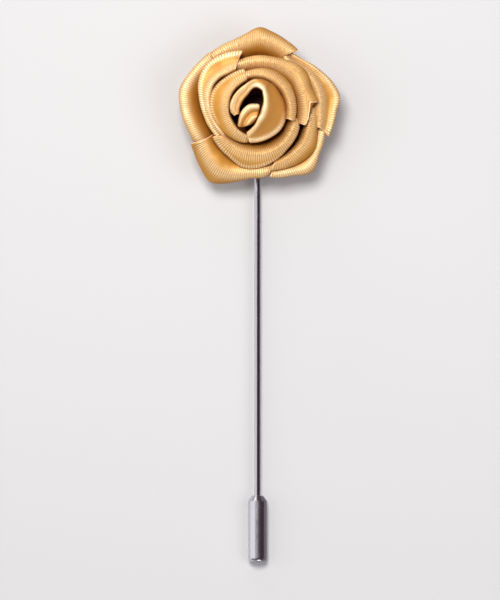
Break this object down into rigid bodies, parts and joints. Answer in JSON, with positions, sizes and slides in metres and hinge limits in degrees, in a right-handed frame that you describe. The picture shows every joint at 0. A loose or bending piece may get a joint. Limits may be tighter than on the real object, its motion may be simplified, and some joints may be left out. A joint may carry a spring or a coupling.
{
  "type": "flower lapel pin",
  "caption": "Lapel stick pin: a rose folded from gold satin ribbon on a straight steel needle, with a push-on cap over the point.",
  "frame": {"origin": "middle of the felt backing's underside, on the needle's line seen from above", "axes": "+Z out of the flower's face, +Y to the flower's top, the needle runs towards -Y; it lies on its back"},
  "size_m": [0.0302, 0.1013, 0.0137],
  "materials": {
    "satin_ribbon": "satin weave, champagne gold",
    "polished_steel": "polished",
    "cap_chrome": "polished",
    "backing_felt": "felt"
  },
  "bodies": {
    "flower_pin": {"needle": "polished_steel", "backing": "backing_felt", "outer_petal_top": "satin_ribbon", "outer_petal_right": "satin_ribbon", "outer_petal_low_right": "satin_ribbon", "outer_petal_low_left": "satin_ribbon", "outer_petal_left": "satin_ribbon", "middle_petal_left": "satin_ribbon", "middle_petal_top": "satin_ribbon", "middle_petal_right": "satin_ribbon", "middle_petal_bottom": "satin_ribbon", "inner_petal_left": "satin_ribbon", "inner_petal_top": "satin_ribbon", "bud_roll": "satin_ribbon", "bud_tip": "satin_ribbon"},
    "cap": {"cap": "cap_chrome"}
  },
  "joints": [
    {"name": "cap_slide", "type": "slide", "parent": "flower_pin", "child": "cap", "axis": [0, -1, 0], "range_m": [0, 0.018]}
  ]
}
